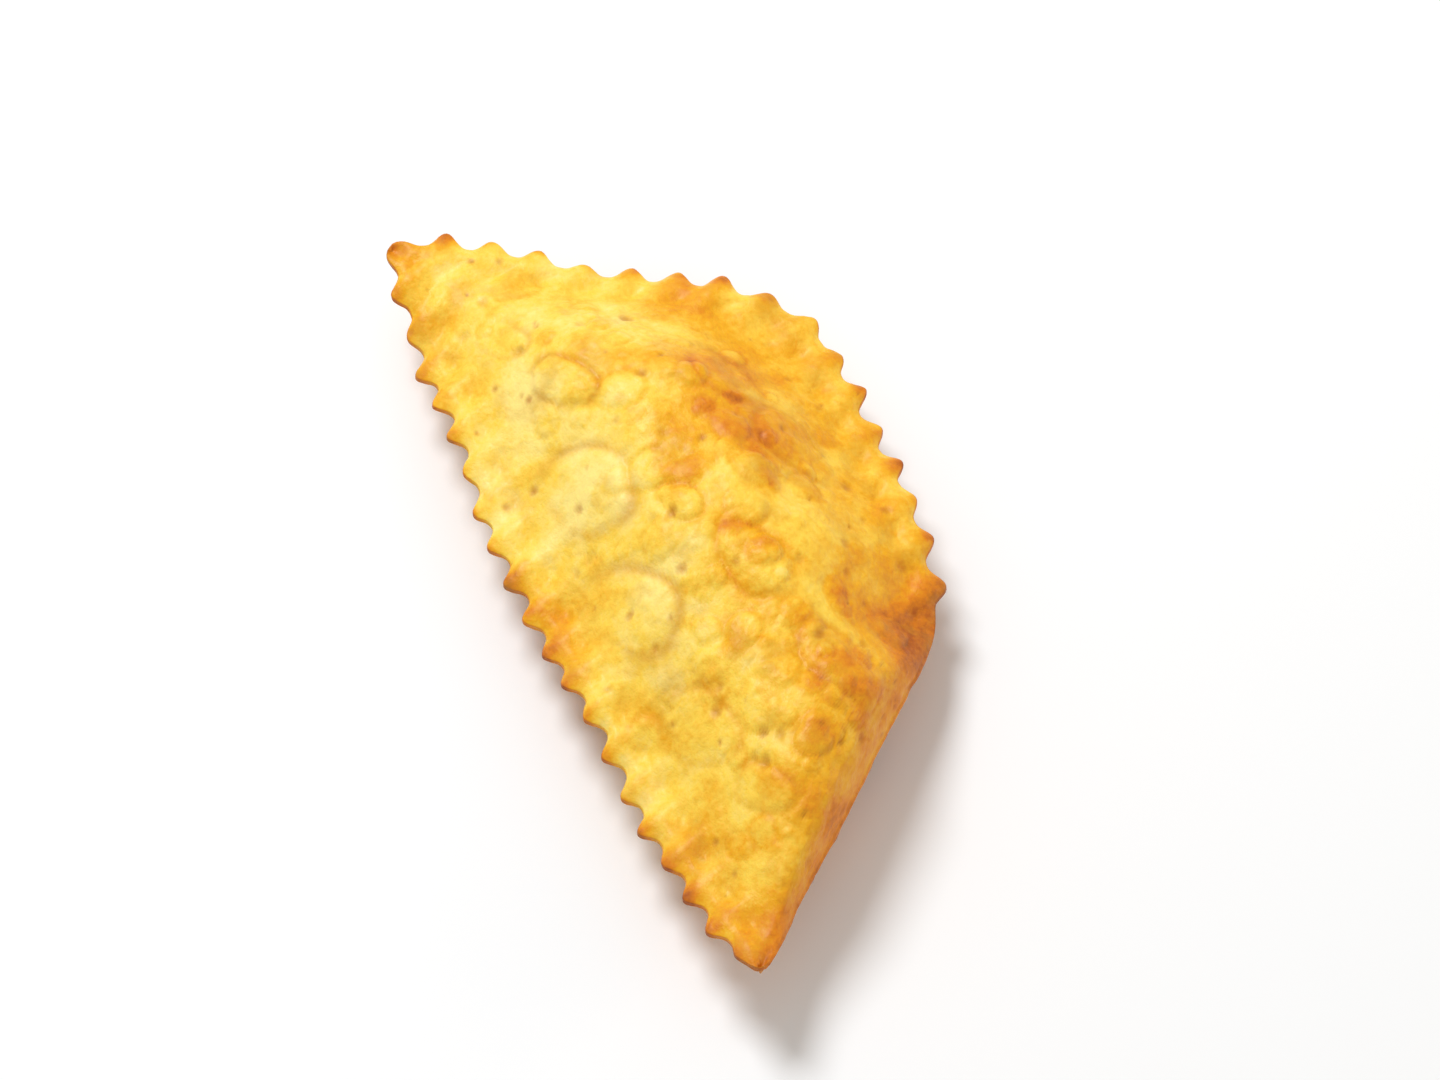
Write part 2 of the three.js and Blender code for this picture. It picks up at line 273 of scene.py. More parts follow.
def edge_ripple(distance):
    return RIPPLE_HEIGHT * np.cos(2 * math.pi * tooth_phase(distance))


def outline_stretches():
    """The four edges, each as a line of points."""
    starts = np.concatenate([[0], np.cumsum(EDGE_LENGTHS)])
    return [outline_at(np.linspace(a, b, STRETCH_SAMPLES + 1))[0] for a, b in zip(starts[:-1], starts[1:])]


EDGES = outline_stretches()


def distance_to(edge, x, y):
    """How far these places lie from the nearest point of an edge."""
    least = np.full(np.shape(x), np.inf)
    for (ax, ay), (bx, by) in zip(edge[:-1], edge[1:]):
        dx, dy = bx - ax, by - ay
        share = np.clip(((x - ax) * dx + (y - ay) * dy) / (dx * dx + dy * dy), 0, 1)
        least = np.minimum(least, np.hypot(x - ax - share * dx, y - ay - share * dy))
    return least


# Relief


def draws(seed):
    """A linear congruential generator, as in the part's source."""
    state = seed
    while True:
        state = (state * 1664525 + 1013904223) % 2**32
        yield state / 2**32


def scatter_blisters(count):
    """Blisters of the bottom skin, clear of each other and of the seam."""
    draw = draws(BLISTER_SEED)
    least, most = BOTTOM_BLISTER_RADIUS
    placed = []
    while len(placed) < count:
        x = TIP[0] * next(draw)
        y = FOLD_CORNER[1] * next(draw)
        radius = least + (most - least) * next(draw)
        room = min(float(distance_to(edge, x, y)) for edge in EDGES)
        clear = all(math.hypot(other[0] - x, other[1] - y) > other[2] + radius for other in placed)
        if room > radius + SEAM_WIDTH and clear:
            brown = BOTTOM_BLISTER_BROWNINGS[len(placed) % len(BOTTOM_BLISTER_BROWNINGS)]
            placed.append((x, y, radius, brown, BOTTOM_BLISTER_OUTLINE))
    return placed


def warped(x, y):
    turn = 2 * math.pi / WARP_LENGTH
    return x + WARP * np.sin(turn * y + WARP_SHIFT[0]), y + WARP * np.sin(turn * x + WARP_SHIFT[1])


def blister_share(x, y, radius):
    """How far a place lies from the middle of a blister, as a share of the blister's size."""
    along = x * math.cos(BLISTER_TURN) + y * math.sin(BLISTER_TURN)
    across = y * math.cos(BLISTER_TURN) - x * math.sin(BLISTER_TURN)
    return np.hypot(along / BLISTER_STRETCH, across * BLISTER_STRETCH) / radius


def blister_relief(blisters, x, y):
    """Height, browning, crease and thin outline of the blisters at these places."""
    x, y = warped(x, y)
    dome = np.zeros(x.shape)
    brown = np.zeros(x.shape)
    crease = np.zeros(x.shape)
    outline = np.zeros(x.shape)
    for cx, cy, radius, browning, drawn in blisters:
        share = blister_share(x - cx, y - cy, radius)
        fullness = np.maximum(0, 1 - share**BLISTER_PLATEAU)
        dome = np.maximum(dome, BLISTER_RISE * radius * fullness)
        brown = np.maximum(brown, browning * np.exp(-((share / BROWNED_SHARE) ** 2)))
        ring = np.exp(-(((share - 1) / BLISTER_CREASE_WIDTH) ** 2))
        crease = np.maximum(crease, ring)
        outline = np.maximum(outline, drawn * ring**OUTLINE_THINNESS)
    return dome - BLISTER_CREASE * crease, brown, crease, outline


def swell_height(x, y):
    return sum(h * np.sin(2 * math.pi * (ax * x + ay * y) + shift) for h, ax, ay, shift in SWELLS)


# Section


def puff_share(from_edges):
    """How far the skins are puffed apart, from 0 at the seam to 1 in the middle."""
    rounded = np.minimum(1, from_edges[-1] / FOLD_RADIUS)
    share = np.sqrt(1 - (1 - rounded) ** 2)
    for distance in from_edges[:-1]:
        rise = np.clip((distance - SEAM_WIDTH) / PUFF_REACH, 0, 1)
        share = share * np.sin(rise * math.pi / 2) ** PUFF_FULLNESS
    return share


def seam_half_thickness(from_edge):
    share = np.minimum(1, from_edge / EDGE_ROUNDING)
    return EDGE_HALF_THICKNESS + (SEAM_HALF_THICKNESS - EDGE_HALF_THICKNESS) * np.sin(share * math.pi / 2)


def curl_height(x):
    """How far both ends of the seam curl up."""
    near_tip = np.maximum(0, 1 - (TIP[0] - x) / TIP_CURL_LENGTH)
    near_blunt = np.maximum(0, 1 - (x - BLUNT_CORNER[0]) / BLUNT_CURL_LENGTH)
    return TIP_CURL * near_tip**2 + BLUNT_CURL * near_blunt**2


def row_shares(rows):
    """How far across each point of a skin lies, with rows crowded at both edges and single points as ends."""
    even = np.linspace(0, 1, rows + 1)
    across = even - ROW_CROWDING * np.sin(2 * math.pi * even) / (2 * math.pi)
    across = np.repeat(across[None], HALF_STATIONS + 1, axis=0)
    across[[0, -1]] = 0
    return across


def skin_grid(side, puff, rows, blisters):
    """The points of the top skin, side 1, or the bottom one, side -1, with what their colour depends on.

    They come as a grid, station by row.
    """
    station = np.arange(HALF_STATIONS + 1)
    near_distance = station_distance(station)[:, None]
    far_distance = station_distance(STATIONS - station)[:, None]
    near, near_out = outline_at(near_distance[:, 0])
    far, far_out = outline_at(far_distance[:, 0])
    width = np.linalg.norm(far - near, axis=1)[:, None]
    across = row_shares(rows)
    blend = smoothstep(across)

    def mix(value_at):
        """The values across the skin, between those of the near edge and the far one."""
        return value_at(near_distance) * (1 - blend) + value_at(far_distance) * blend

    place = near[:, None] * (1 - across[..., None]) + far[:, None] * across[..., None]
    x, y = place[..., 0], place[..., 1]
    from_edges = [distance_to(edge, x, y) for edge in EDGES]
    from_cut = np.minimum.reduce(from_edges[:-1])
    from_any = np.minimum(from_cut, from_edges[-1])
    blister, brown, crease, outline = blister_relief(blisters, x, y)
    puffed = puff_share(from_edges)
    ripple = mix(edge_ripple) * np.sin(math.pi * np.minimum(1, from_cut / RIPPLE_REACH)) ** 2
    half = seam_half_thickness(from_any) + (puff + blister + swell_height(x, y)) * puffed - ripple
    wave = mix(seam_wave) * np.cos(math.pi * across) ** 2
    height = np.maximum(0, SEAM_HEIGHT + curl_height(x) + wave + side * half)

    near_share = (1 - across) * np.maximum(0, 1 - across * width / TOOTH_REACH) ** 2
    far_share = across * np.maximum(0, 1 - (1 - across) * width / TOOTH_REACH) ** 2
    place = place + (near_share * edge_offset(near_distance))[..., None] * near_out[:, None]
    place = place + (far_share * edge_offset(far_distance))[..., None] * far_out[:, None]
    return {
        "points": np.dstack([place, height]),
        "blister_brown": brown * puffed,
        "crease": np.minimum(1, crease) * puffed,
        "outline": outline * np.minimum(1, OUTLINE_PUFF_GAIN * puffed),
        "puffed": puffed,
        "on_tooth": near_share * tooth_share(near_distance) + far_share * tooth_share(far_distance),
        "from_fold": from_edges[-1],
    }


# Crust mesh

# The cut edge between the skins
RIM_BULGE = 0.22
RIM_GROOVE = 0.16
RIM_GROOVE_WIDTH = 0.16
PRESSED_FADE = 6.0

# Fine relief, weaker on the pressed seam, with its pebbles as (size, height)
PEBBLES = ((2.6, 0.16), (1.2, 0.11), (0.6, 0.06))
RIM_RELIEF = 0.4
RELIEF_PUFF_GAIN = 3.0

# Scattered marks as (count, least radius, most radius, crowding towards the least)
SMALL_BLISTERS = (150, 0.8, 2.4, 1.7)
PIMPLES = (2000, 0.3, 0.85, 1.6)
DIMPLES = (190, 0.35, 1.0, 1.5)
MARK_REACH = 1.5
MARK_UNEVENNESS = 0.6
SMALL_BLISTER_RISE = 0.16
SMALL_BLISTER_CREASE = 0.075
SMALL_BLISTER_CREASE_WIDTH = 0.22
PIMPLE_RISE = 0.19
PIMPLE_CLUSTERING = 1.8
PIMPLES_BETWEEN_CLUSTERS = 0.1
DIMPLE_DEPTH = 0.3
RELIEF_SEED = 11

# Where the pimples crowd, as (size, shift of the noise)
PIMPLE_CLUSTERS = (7.0, 5.1)

# What each point carries beside its place: how brown it is, painted shade included, how far puffed up, and
# how dark its speck is, the dimples' specks being painted shade
FIELDS = ("brown", "puffed", "speck")


def skin_indices(columns, rows, first):
    """Vertex numbers of a skin, whose first and last columns are each one vertex."""
    indices = first + np.arange(columns * rows).reshape(columns, rows)
    indices[0] = indices[0, 0]
    indices[-1] = indices[-1, 0]
    return indices


def grid_quads(indices):
    corners = [indices[:-1, :-1], indices[:-1, 1:], indices[1:, 1:], indices[1:, :-1]]
    return np.stack(corners, axis=-1).reshape(-1, 4)


def round_the_rim(values):
    """The values of a skin along its edge, one for each station round the outline."""
    return np.concatenate([values[:-1, 0], values[:0:-1, -1]])


def pressed_share(distance):
    """1 along the cut edges and 0 along the fold, with a soft change past the last tooth."""
    return 1 - smoothstep((distance - FLUTED_LENGTH) / PRESSED_FADE)


def rim_groove(row):
    """How deep in the groove of the cut edge this row lies, from 0 to 1."""
    return np.exp(-(((row / RIM_ROWS - 0.5) / RIM_GROOVE_WIDTH) ** 2))


def rim_points(top_edge, bottom_edge):
    """Rows of points between the edges of the two skins, with a fine groove where these are pressed."""
    distance = station_distance(np.arange(STATIONS))
    outward = outline_at(distance)[1]
    pressed = pressed_share(distance)
    rows = []
    for row in range(1, RIM_ROWS):
        share = row / RIM_ROWS
        bulge = RIM_BULGE * (1 - (2 * share - 1) ** 2)
        groove = RIM_GROOVE * rim_groove(row) * pressed
        push = (bulge - groove)[:, None] * outward
        points = top_edge * (1 - share) + bottom_edge * share
        points[:, :2] += push
        rows.append(points)
    return np.stack(rows, axis=1)


def make_rim(skins):
    """The rows between the skins, browner where these are pressed, partly as painted shade, with a dark line
    in the groove.
    """
    pressed = pressed_share(station_distance(np.arange(STATIONS)))
    edge_brown = np.mean([round_the_rim(skin["brown"]) for skin in skins], axis=0)
    return {
        "points": rim_points(*[round_the_rim(skin["points"]) for skin in skins]),
        "brown": np.repeat(edge_brown + RIM_BROWNING_AND_SHADE * pressed, RIM_ROWS - 1),
        "puffed": np.zeros(STATIONS * (RIM_ROWS - 1)),
        "speck": RIM_LINE * np.outer(pressed, rim_groove(np.arange(1, RIM_ROWS))),
    }


def crust_surface(top, bottom):
    """Points, faces and fields of the closed crust."""
    rim = make_rim([top, bottom])
    parts = [top, bottom, rim]
    shapes = [part["points"].shape[:2] for part in parts]
    firsts = np.cumsum([0] + [columns * rows for columns, rows in shapes])
    top_grid = skin_indices(*shapes[0], firsts[0])
    bottom_grid = skin_indices(*shapes[1], firsts[1])
    between = np.arange(firsts[2], firsts[3]).reshape(shapes[2])
    rim_grid = np.column_stack([round_the_rim(top_grid), between, round_the_rim(bottom_grid)])
    rim_grid = np.concatenate([rim_grid, rim_grid[:1]])
    quads = [grid_quads(top_grid), grid_quads(bottom_grid)[:, ::-1], grid_quads(rim_grid)[:, ::-1]]
    used, quads = np.unique(np.concatenate(quads), return_inverse=True)
    # A quad at the end of a skin has one point twice, and becomes a triangle
    faces = [tuple(dict.fromkeys(quad)) for quad in quads.reshape(-1, 4).tolist()]
    points = np.concatenate([part["points"].reshape(-1, 3) for part in parts])[used]
    fields = {name: np.concatenate([part[name].ravel() for part in parts])[used] for name in FIELDS}
    return points, faces, fields


def mesh_of(name, points, faces):
    mesh = bpy.data.meshes.new(name)
    mesh.from_pydata((points * MM).tolist(), [], faces)
    mesh.polygons.foreach_set("use_smooth", [True] * len(mesh.polygons))
    mesh.update()
    return mesh


def vertex_normals(mesh):
    normals = np.empty(len(mesh.vertices) * 3)
    mesh.vertex_normals.foreach_get("vector", normals)
    return normals.reshape(-1, 3)


def vertex_areas(points, faces):
    """A share of the surface for each vertex."""
    corners = np.array([face[:3] for face in faces])
    a, b, c = (points[corners[:, i]] for i in range(3))
    size = np.linalg.norm(np.cross(b - a, c - a), axis=1)
    areas = np.zeros(len(points))
    for i in range(3):
        np.add.at(areas, corners[:, i], size)
    return areas / areas.sum()


def noise_at(points, size, shift):
    """Noise with features of about this size, in millimetres. Another shift gives another noise."""
    offset = Vector((shift, 2 * shift, -shift))
    return np.array([noise.noise(Vector(point) / size + offset) for point in points])


def noise_over(skin, size, shift):
    """Noise at the points of a skin, station by row."""
    points = skin["points"]
    return noise_at(points.reshape(-1, 3), size, shift).reshape(points.shape[:2])


def marks(points, tree, chances, rng, kind):
    """Scattered marks: the radius of each, the points in its reach, and how far out these lie in it.

    That share is 0 in the middle of the mark and 1 at its edge. The chances are given for each point.
    """
    count, least, most, crowding = kind
    unevenness = 1 + MARK_UNEVENNESS * noise_at(points, least + most, count)
    for centre in rng.choice(len(points), count, replace=False, p=chances):
        radius = least + (most - least) * rng.random() ** crowding
        found = tree.find_range(points[centre], MARK_REACH * radius)
        index = np.array([item[1] for item in found])
        distance = np.array([item[2] for item in found])
        yield radius, index, distance * unevenness[index] / radius


def point_tree(points):
    """A search tree that finds the points near a place."""
    tree = kdtree.KDTree(len(points))
    for index, point in enumerate(points):
        tree.insert(point, index)
    tree.balance()
    return tree


def raise_small_blisters(points, tree, weights, rng, push, brown):
    """Pushes small blisters out, each with a crease round it, and browns them."""
    domes = np.zeros(len(points))
    creases = np.zeros(len(points))
    for radius, index, share in marks(points, tree, weights / weights.sum(), rng, SMALL_BLISTERS):
        dome = np.maximum(0, 1 - share**BLISTER_PLATEAU)
        edge = np.exp(-(((share - 1) / SMALL_BLISTER_CREASE_WIDTH) ** 2))
        domes[index] = np.maximum(domes[index], SMALL_BLISTER_RISE * radius * dome)
        creases[index] = np.maximum(creases[index], edge)
        brown[index] += rng.uniform(*SMALL_BLISTER_BROWNING) * dome
    brown += SMALL_CREASE_DARKENING * creases
    push += domes - SMALL_BLISTER_CREASE * creases


def raise_pimples(points, tree, areas, rng, push):
    """Pushes pimples out, crowded together in clusters."""
    clusters = 1 + PIMPLE_CLUSTERING * noise_at(points, *PIMPLE_CLUSTERS)
    weights = areas * np.maximum(PIMPLES_BETWEEN_CLUSTERS, clusters)
    pimples = np.zeros(len(points))
    for radius, index, share in marks(points, tree, weights / weights.sum(), rng, PIMPLES):
        pimples[index] = np.maximum(pimples[index], PIMPLE_RISE * radius * np.maximum(0, 1 - share**2))
    push += pimples


def press_dimples(points, tree, areas, rng, push, speck):
    """Pushes dimples in, and darkens them with painted shade."""
    for radius, index, share in marks(points, tree, areas, rng, DIMPLES):
        depth = np.maximum(0, 1 - share**2) ** 2
        push[index] -= DIMPLE_DEPTH * radius * depth
        strength = rng.uniform(*DIMPLE_SHADE_STRENGTH)
        speck[index] = np.maximum(speck[index], strength * depth)


def fine_relief(points, normals, areas, fields):
    """The points moved out or in by the fine relief, which browns and darkens its fields too, with painted
    shade on steep sides and in dimples.
    """
    rng = np.random.default_rng(RELIEF_SEED)
    tree = point_tree(points)
    puffed = fields["puffed"]
    push = sum(height * noise_at(points, size, size) for size, height in PEBBLES)
    raise_small_blisters(points, tree, areas * puffed, rng, push, fields["brown"])
    raise_pimples(points, tree, areas, rng, push)
    press_dimples(points, tree, areas, rng, push, fields["speck"])
    # Painted shade, partly: browner steep sides
    steep = smoothstep((STEEP_FROM - normals[:, 2]) / STEEP_FROM) * (normals[:, 2] > 0)
    fields["brown"] += STEEP_BROWNING_AND_SHADE * steep * puffed
    push *= RIM_RELIEF + (1 - RIM_RELIEF) * np.minimum(1, RELIEF_PUFF_GAIN * puffed)
    moved = points + push[:, None] * normals
    moved[:, 2] = np.maximum(0, moved[:, 2])
    return moved


# Browning, with painted shade in it

# From 0, pale dough, to 1, dark brown
BASE_BROWNING = 0.185
BROWNED_SHARE = 0.8
# Browner underside: partly frying, partly painted shade
UNDERSIDE_BROWNING_AND_SHADE = 0.3
# Browner cut edge: partly browning, partly painted shade
RIM_BROWNING_AND_SHADE = 0.12
RIM_LINE = 0.28
TOOTH_BROWNING = 0.34
TOOTH_BROWNING_CROWDING = 1.5
TOASTED_TIP = 0.25
TOASTED_LENGTH = 38.0
TOOTH_UNEVENNESS = 1.3
TOOTH_EXTREMES = (0.3, 1.3)
TIP_BROWNING = 0.05
TIP_BROWNED_LENGTH = 9.0
BLUNT_BROWNING = 0.2
BLUNT_BROWNED_LENGTH = 8.0
# Browner along the fold: partly browning, partly painted shade of the fold's side
FOLD_BROWNING_AND_SHADE = 0.42
FOLD_BROWNED_AND_SHADED_WIDTH = 7.5
# Darker along the creases round the blisters
CREASE_DARKENING = 0.12
CREASE_UNEVENNESS = 1.2
CREASE_THINNESS = 2.0
SMALL_BLISTER_BROWNING = (-0.05, 0.15)
SMALL_CREASE_DARKENING = 0.08
STEEP_FROM = 0.75
# Browner steep sides, picked out by their normals: partly browning, partly painted shade
STEEP_BROWNING_AND_SHADE = 0.22
# How dark the dimples are: painted shade
DIMPLE_SHADE_STRENGTH = (0.25, 0.85)
DARKEST = 0.74

# How far the thin outlines of the blisters come and go
OUTLINE_STRENGTH = 0.85
OUTLINE_UNEVENNESS = 1.6

# Patches as (size, shift of the noise), those of the teeth as (share, size, shift)
CREASE_PATCHES = (5.0, 9.2)
OUTLINE_PATCHES = (3.5, 4.4)
TOOTH_PATCHES = ((1.0, 4.0, 3.1), (0.5, 1.3, 6.2))

# Patches all over the crust as (size, strength), each with the next multiple of the shift
PATCHES = ((15.0, 0.14), (6.5, 0.17), (2.6, 0.12))
PATCH_SHIFT = 7.3

# Broad zones of the top skin as (x, y, reach, browning); three darker ones, towards the back edge and by the
# fold corner, are partly browning and partly painted shade
ZONES = (
    (41.0, 7.0, 12.0, -0.13),
    (27.0, 7.0, 4.5, -0.13),
    # The next two are partly browning, partly painted shade of a neighbouring piece
    (30.0, 26.0, 12.0, 0.28),
    (42.5, 24.0, 6.0, 0.21),
    (48.5, -0.5, 5.5, 0.32),
    (75.0, 0.5, 5.5, 0.19),
    (18.0, 27.5, 6.0, 0.14),
    (64.0, 3.5, 3.5, 0.12),
    (63.0, 9.0, 8.0, -0.10),
    (79.0, 8.0, 8.0, -0.11),
    # Partly browning, partly painted shade at the fold corner
    (62.0, 30.5, 6.0, 0.21),
)


def ring_lines(skin):
    """Thin darker outlines of the larger blisters, stronger here and weaker there."""
    uneven = noise_over(skin, *OUTLINE_PATCHES)
    return skin["outline"] * np.clip(OUTLINE_STRENGTH + OUTLINE_UNEVENNESS * uneven, 0, 1)


def crease_lines(skin):
    """The creases round the blisters, thinner than they are pressed, and patchy."""
    uneven = 1 + CREASE_UNEVENNESS * noise_over(skin, *CREASE_PATCHES)
    return skin["crease"] ** CREASE_THINNESS * np.maximum(0, uneven)


def toasted_teeth(skin, from_tip):
    """Browning of the teeth, stronger towards the sharp tip, and patchy."""
    patches = sum(share * noise_over(skin, size, shift) for share, size, shift in TOOTH_PATCHES)
    uneven = 1 + TOOTH_UNEVENNESS * patches
    strength = TOOTH_BROWNING * (1 + TOASTED_TIP * smoothstep(1 - from_tip / TOASTED_LENGTH))
    crowded = np.minimum(1, skin["on_tooth"]) ** TOOTH_BROWNING_CROWDING
    return strength * np.clip(uneven, *TOOTH_EXTREMES) * crowded


def browning(skin, side):
    """How brown each point of a skin is, with painted shade along the fold, on the underside and in some
    zones of the top skin.
    """
    x = skin["points"][..., 0]
    y = skin["points"][..., 1]
    from_tip = np.hypot(x - TIP[0], y - TIP[1])
    from_blunt = np.hypot(x - BLUNT_CORNER[0], y - BLUNT_CORNER[1])
    brown = BASE_BROWNING + skin["blister_brown"] + CREASE_DARKENING * crease_lines(skin)
    brown += toasted_teeth(skin, from_tip)
    brown += TIP_BROWNING * smoothstep(1 - from_tip / TIP_BROWNED_LENGTH)
    brown += BLUNT_BROWNING * smoothstep(1 - from_blunt / BLUNT_BROWNED_LENGTH)
    # Painted shade, partly: browner along the fold
    brown += FOLD_BROWNING_AND_SHADE * np.exp(-skin["from_fold"] / FOLD_BROWNED_AND_SHADED_WIDTH)
    # Painted shade, partly: a browner underside
    if side < 0:
        brown += UNDERSIDE_BROWNING_AND_SHADE
    else:
        # Painted shade, partly: the darker zones towards the back edge and by the fold corner
        for zone_x, zone_y, reach, strength in ZONES:
            brown += strength * np.exp(-((np.hypot(x - zone_x, y - zone_y) / reach) ** 2))
    for number, (size, strength) in enumerate(PATCHES):
        brown += strength * noise_over(skin, size, PATCH_SHIFT * (number + 1))
    return np.minimum(DARKEST, brown)


def make_crust():
    """The finished pastry, its middle over the middle of the CAD node."""
    top = skin_grid(1, TOP_PUFF, TOP_ROWS, TOP_BLISTERS)
    bottom = skin_grid(-1, BOTTOM_PUFF, BOTTOM_ROWS, scatter_blisters(BOTTOM_BLISTER_COUNT))
    for skin, side in ((top, 1), (bottom, -1)):
        skin["brown"] = browning(skin, side)
        skin["speck"] = ring_lines(skin)
    points, faces, fields = crust_surface(top, bottom)
    rough = mesh_of("crust_rough", points, faces)
    moved = fine_relief(points, vertex_normals(rough), vertex_areas(points, faces), fields)
    bpy.data.meshes.remove(rough)
    low, high = (np.array(corner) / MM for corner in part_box("pastry"))
    middle = (moved.min(0) + moved.max(0)) / 2
    moved[:, :2] += ((low + high) / 2 - middle)[:2]
    mesh = mesh_of("crust", moved, faces)
    for name in ("brown", "speck"):
        held = mesh.attributes.new(name, "FLOAT", "POINT")
        held.data.foreach_set("value", fields[name].astype(np.float32))
    crust = bpy.data.objects.new("crust", mesh)
    bpy.context.scene.collection.objects.link(crust)
    return crust


# Materials


def colour(red, green, blue):
    """A colour given as on screen, from 0 to 255, as Blender's linear values."""
    shares = [value / 255 for value in (red, green, blue)]
    return (*[s / 12.92 if s <= 0.04045 else ((s + 0.055) / 1.055) ** 2.4 for s in shares], 1.0)


class Nodes:
    """Short ways to add and join the nodes of one material."""

    def __init__(self, name):
        self.material = bpy.data.materials.new(name)
        self.material.use_nodes = True
        self.tree = self.material.node_tree
        self.shader = self.tree.nodes["Principled BSDF"]

    def add(self, kind, **settings):
        node = self.tree.nodes.new(kind)
        for name, value in settings.items():
            setattr(node, name, value)
        return node

    def link(self, source, target):
        self.tree.links.new(source, target)

    def fill(self, socket, value):
        if isinstance(value, bpy.types.NodeSocket):
            self.link(value, socket)
        else:
            socket.default_value = value

    def finish(self, values):
        """Sets what is the same all over the surface."""
        for name, value in values.items():
            self.shader.inputs[name].default_value = value

    def attribute(self, name):
        return self.add("ShaderNodeAttribute", attribute_name=name).outputs["Fac"]

    def maths(self, operation, a, b):
        node = self.add("ShaderNodeMath", operation=operation)
        self.fill(node.inputs[0], a)
        self.fill(node.inputs[1], b)
        return node.outputs[0]

    def noise(self, size, detail, roughness):
        """Noise with features of about this size, in metres."""
        place = self.add("ShaderNodeTexCoord").outputs["Object"]
        node = self.add("ShaderNodeTexNoise")
        node.inputs["Scale"].default_value = 1 / size
        node.inputs["Detail"].default_value = detail
        node.inputs["Roughness"].default_value = roughness
        self.link(place, node.inputs["Vector"])
        return node.outputs["Fac"]

    def centred(self, value, strength):
        """A value from 0 to 1, turned into one that goes both ways from 0."""
        return self.maths("MULTIPLY", self.maths("SUBTRACT", value, 0.5), strength)

    def ramp(self, value, stops):
        """The colour at this value between stops, each as (place, colour)."""
        node = self.add("ShaderNodeValToRGB")
        elements = node.color_ramp.elements
        while len(elements) < len(stops):
            elements.new(0.5)
        for element, (place, shade) in zip(elements, stops):
            element.position = place
            element.color = shade
        self.link(value, node.inputs["Fac"])
        return node.outputs["Color"]

    def mix(self, share, a, b):
        node = self.add("ShaderNodeMix", data_type="RGBA")
        for name, value in (("Factor", share), ("A", a), ("B", b)):
            sockets = [s for s in node.inputs if s.name == name and s.enabled]
            self.fill(sockets[0], value)
        return next(s for s in node.outputs if s.enabled)


# Tones of the crust, from pale dough to dark brown, and the tone of specks: the dimples' painted shade and
# thin outlines
CRUST_TONES = (
    (0.0, colour(255, 231, 134)),
    (0.22, colour(251, 212, 77)),
    (0.42, colour(238, 175, 24)),
    (0.62, colour(222, 135, 16)),
    (0.8, colour(178, 94, 22)),
    (1.0, colour(104, 50, 14)),
)
SPECK_AND_SHADE_TONE = colour(178, 98, 24)
SPECK_SHARE = 0.8

# Noises of the crust as (size in metres, detail, roughness)
MOTTLE = (0.0030, 4.0, 0.6)
GRAIN = (0.0007, 3.0, 0.6)
SMUDGES = (0.0048, 3.0, 0.55)
LUMPS = (0.0015, 5.0, 0.65)

# How much the noises change the browning, the roughness and the bumps
MOTTLE_BROWNING = 0.34
GRAIN_BROWNING = 0.3
MOTTLE_ROUGHNESS = 0.6
MEAN_ROUGHNESS = 0.5
LUMP_SHARE = 1.2
BUMP_STRENGTH = 0.5
BUMP_HEIGHT = 0.00027

# Dull smudges on the crust
SMUDGE_TONE = colour(206, 154, 46)
SMUDGE_FROM = 0.53
SMUDGE_STRENGTH = 2.4
SMUDGE_MOST = 0.36

# What is the same all over the crust: soft light under the surface, and a slight oily gloss
CRUST_FINISH = {
    "Subsurface Weight": 0.13,
    "Subsurface Radius": (1.0, 0.5, 0.15),
    "Subsurface Scale": 0.0014,
    "Specular IOR Level": 0.26,
    "Coat Weight": 0.1,
    "Coat Roughness": 0.26,
}
FLOOR_FINISH = {"Base Color": colour(243, 248, 255), "Roughness": 0.6}


def crust_tone(nodes, mottle, grain):
    """The colour of the crust: browned, partly as painted shade, smudged, and darker in its specks, which in
    the dimples are painted shade.
    """
    brown = nodes.maths("ADD", nodes.attribute("brown"), nodes.centred(mottle, MOTTLE_BROWNING))
    brown = nodes.maths("ADD", brown, nodes.centred(grain, GRAIN_BROWNING))
    tone = nodes.ramp(brown, CRUST_TONES)
    smudged = nodes.maths("SUBTRACT", nodes.noise(*SMUDGES), SMUDGE_FROM)
    smudged = nodes.maths("MAXIMUM", nodes.maths("MULTIPLY", smudged, SMUDGE_STRENGTH), 0.0)
    tone = nodes.mix(nodes.maths("MINIMUM", smudged, SMUDGE_MOST), tone, SMUDGE_TONE)
    # Specks, painted shade in the dimples
    speck = nodes.maths("MULTIPLY", nodes.attribute("speck"), SPECK_SHARE)
    return nodes.mix(speck, tone, SPECK_AND_SHADE_TONE)


def crust_material():
    nodes = Nodes("fried_crust")
    mottle = nodes.noise(*MOTTLE)
    grain = nodes.noise(*GRAIN)
    nodes.link(crust_tone(nodes, mottle, grain), nodes.shader.inputs["Base Color"])
    rough = nodes.maths("ADD", nodes.centred(mottle, MOTTLE_ROUGHNESS), MEAN_ROUGHNESS)
    nodes.link(rough, nodes.shader.inputs["Roughness"])
    bump = nodes.add("ShaderNodeBump")
    bump.inputs["Strength"].default_value = BUMP_STRENGTH
    bump.inputs["Distance"].default_value = BUMP_HEIGHT
    lumps = nodes.maths("MULTIPLY", nodes.noise(*LUMPS), LUMP_SHARE)
    nodes.link(nodes.maths("ADD", grain, lumps), bump.inputs["Height"])
    nodes.link(bump.outputs["Normal"], nodes.shader.inputs["Normal"])
    nodes.finish(CRUST_FINISH)
    return nodes.material


def floor_material():
    nodes = Nodes("pale_floor")
    nodes.finish(FLOOR_FINISH)
    return nodes.material


# Stage

FLOOR_REACH = 3.0

